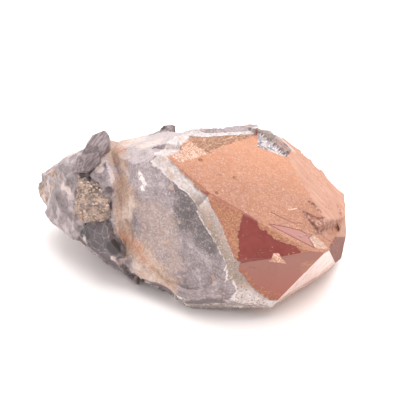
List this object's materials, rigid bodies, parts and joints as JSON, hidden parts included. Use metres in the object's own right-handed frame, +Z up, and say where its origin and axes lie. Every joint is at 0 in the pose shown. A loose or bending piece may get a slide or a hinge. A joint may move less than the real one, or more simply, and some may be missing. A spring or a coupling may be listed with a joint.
{
  "type": "auralite crystal",
  "caption": "Stubby natural quartz point with an iron-stained rust and peach tip, a grey-violet broken body and a rough blocky root, lying on one side.",
  "frame": {"origin": "centre of the bounding box, on the ground under the stone", "axes": "+X from the broken root towards the crystal's tip, +Z up as it lies"},
  "size_m": [0.0969, 0.0614, 0.0444],
  "materials": {
    "stone": "natural quartz, matt iron stain on the tip and glassy fracture on the body"
  },
  "bodies": {
    "root": {"auralite_crystal": "stone"}
  },
  "joints": []
}
